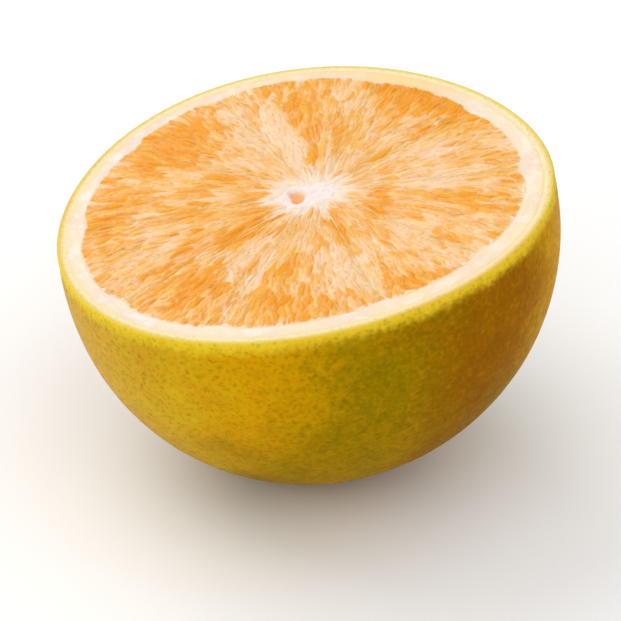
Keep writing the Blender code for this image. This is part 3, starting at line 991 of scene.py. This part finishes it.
def make_walls():
    """The skins between the segments: ten upright plates from the pith to the core. Each is a profile, up one
    side, over a rounded top and down the other, carried along its wall and widening exponentially into the
    core."""
    stations, sides, top_points = 110, 5, 7
    share = np.linspace(-0.01, 1.03, stations)
    profile_bend = np.linspace(0, math.pi, top_points)
    drop = np.linspace(1, 0.02, sides)
    aside = np.concatenate([np.ones(sides), np.cos(profile_bend), -np.ones(sides)])
    rise = np.concatenate([np.zeros(sides), 0.3 * WALL_THICKNESS * np.sin(profile_bend), np.zeros(sides)])
    fall = np.concatenate([drop, np.zeros(top_points), drop[::-1]])
    points, quads, fans, inward = [], [], [], []
    for index in range(SEGMENTS):
        turn = np.full(stations, float(index))
        flat = on_cut(turn, share)
        way = flat[-1] - flat[0]
        way /= np.linalg.norm(way)
        cross = np.array([-way[1], way[0]])
        half = 0.5 * WALL_THICKNESS * (1 + 1.5 * np.exp((share - 1) / 0.06))
        out = np.linalg.norm(flat, axis=-1) / (FACE_RADIUS - PEEL)
        depth = (HALF_LENGTH - PITH_FLOOR) * np.sqrt(np.clip(1 - out**2, 0.003, 1))
        level = CUT_HEIGHT - WALL_SINK + layers(lift(flat, 0.0), WALL_LUMPS)
        level -= PITH_END_SINK * (1 - ease(share / 0.015)) + CORE_END_SINK * ease((share - 0.95) / 0.06)
        across_plate = flat[:, None] + cross * (half[:, None] * aside)[..., None]
        height = level[:, None] + rise - depth[:, None] * fall
        plate = lift(across_plate, height)
        start = sum(len(part) for part in points)
        plate_quads, plate_fans = ring_faces(*plate.shape[:2])
        quads.append(start + plate_quads)
        fans.append(start + plate_fans)
        middles = np.stack([plate[0].mean(axis=0), plate[-1].mean(axis=0)])
        points.append(np.concatenate([plate.reshape(-1, 3), middles]))
        nearness = ease((share - 0.6) / 0.4)
        inward.append(np.append(np.repeat(nearness, plate.shape[1]), [0.0, 1.0]))
    make_piece(
        "segment_walls", np.concatenate(points), np.concatenate(quads), np.concatenate(fans),
        wall_finish(), {"inward": np.concatenate(inward)},
    )


def make_core():
    """The white middle as a closed plug: rings from its middle out to its star-shaped border, then down and
    back to its foot. Its top sinks, with a spongy relief and one round pit."""
    columns, rows, wall_rows = 320, 44, 6
    turn = np.arange(columns) * SEGMENTS / columns
    share = np.linspace(0, 1, rows + 1)[1:, None]
    border = CORE_AT + (core_edge(turn) - CORE_AT) * CORE_LAP
    flat = CORE_AT + (border - CORE_AT) * share[..., None]
    spot = lift(flat, 0.0)
    from_pit = np.linalg.norm((flat - CORE_AT - PIT_AT) * [1, 0.8], axis=-1)
    from_pit += layers(spot, PIT_STRAY)
    pit = 1 - ease(from_pit / PIT_RADIUS)
    crown = CROWN * np.exp(-((from_core(flat) / CROWN_REACH) ** 2))
    ridge = RIDGE * np.exp(-(((from_pit - RIDGE_RADIUS * PIT_RADIUS) / RIDGE_WIDTH) ** 2))
    relief = -CORE_SINK + crown + ridge - PIT_DEPTH * pit + layers(spot, SPONGE)
    relief -= CORE_EDGE_SINK * ease((share - 0.92) / 0.08)
    top = lift(flat, CUT_HEIGHT + relief)
    drop = np.linspace(0, 1, wall_rows + 1)[1:, None]
    depth = HALF_LENGTH - CORE_FLOOR
    foot = CORE_AT + (border - CORE_AT) * (1 - 0.9 * drop)[..., None]
    side = lift(foot, CUT_HEIGHT - SIDE_START - depth * drop)
    grid = np.concatenate([top, side])
    wet = np.concatenate([0.95 * ease(2.2 * pit), np.zeros(side.shape[:2])])
    ends = np.array([top[0, :, 2].mean(), CUT_HEIGHT - SIDE_START - depth])
    poles = lift(np.stack([CORE_AT, CORE_AT]), ends)
    quads, fans = ring_faces(len(grid), columns)
    marks = {"wet": with_poles(wet, 0, 0)}
    make_piece("core", with_poles(grid, *poles), quads, fans, core_finish(), marks)


def floor_finish():
    """Matt pale board with a barely seen grain."""
    finish = Finish("pale floor")
    grain = finish.clouds(finish.place(), 20 * MM, 3)
    board = finish.blend(grain, (0.96, 0.96, 0.96, 1), (0.98, 0.98, 0.98, 1))
    finish.paint(Base_Color=board, Roughness=0.8 + 0.1 * grain)
    return finish.material


def set_stage():
    """A wide pale floor, a soft world, two large soft lamps behind on the left and above, and a weak one in
    front."""
    mesh = bpy.data.meshes.new("floor")
    signs = ((-1, -1), (1, -1), (1, 1), (-1, 1))
    corners = [(east * FLOOR_REACH, north * FLOOR_REACH, 0) for east, north in signs]
    mesh.from_pydata(corners, [], [(0, 1, 2, 3)])
    mesh.materials.append(floor_finish())
    floor = bpy.data.objects.new("floor", mesh)
    bpy.context.scene.collection.objects.link(floor)

    world = bpy.data.worlds.new("soft studio")
    world.use_nodes = True
    world.node_tree.nodes["Background"].inputs["Color"].default_value = (1, 1, 1, 1)
    world.node_tree.nodes["Background"].inputs["Strength"].default_value = WORLD_LIGHT
    bpy.context.scene.world = world

    for name, place, size, power in LAMPS:
        lamp = bpy.data.lights.new(name, "AREA")
        lamp.shape = "RECTANGLE"
        lamp.size, lamp.size_y = size
        lamp.energy = power
        stood = bpy.data.objects.new(name, lamp)
        stood.location = place
        stood.rotation_euler = (LOOK_AT - Vector(place)).to_track_quat("-Z", "Y").to_euler()
        bpy.context.scene.collection.objects.link(stood)


def set_camera():
    """A long lens in front of the fruit, at the photograph's height above the table."""
    camera = bpy.data.cameras.new("camera")
    camera.sensor_width = SENSOR_WIDTH
    camera.lens = SENSOR_WIDTH * CAMERA_DISTANCE / VIEW_WIDTH
    camera.clip_start = 0.01
    stood = bpy.data.objects.new("camera", camera)
    back = Vector((0, -math.cos(CAMERA_RISE), math.sin(CAMERA_RISE)))
    stood.location = LOOK_AT + back * CAMERA_DISTANCE
    stood.rotation_euler = (-back).to_track_quat("-Z", "Y").to_euler()
    bpy.context.scene.collection.objects.link(stood)
    bpy.context.scene.camera = stood


bpy.context.scene.view_settings.view_transform = "Standard"
set_camera()
set_stage()
make_peel()
make_pith()
pulp = pulp_finish()
for segment in range(SEGMENTS):
    make_segment(segment, pulp)
make_walls()
make_core()
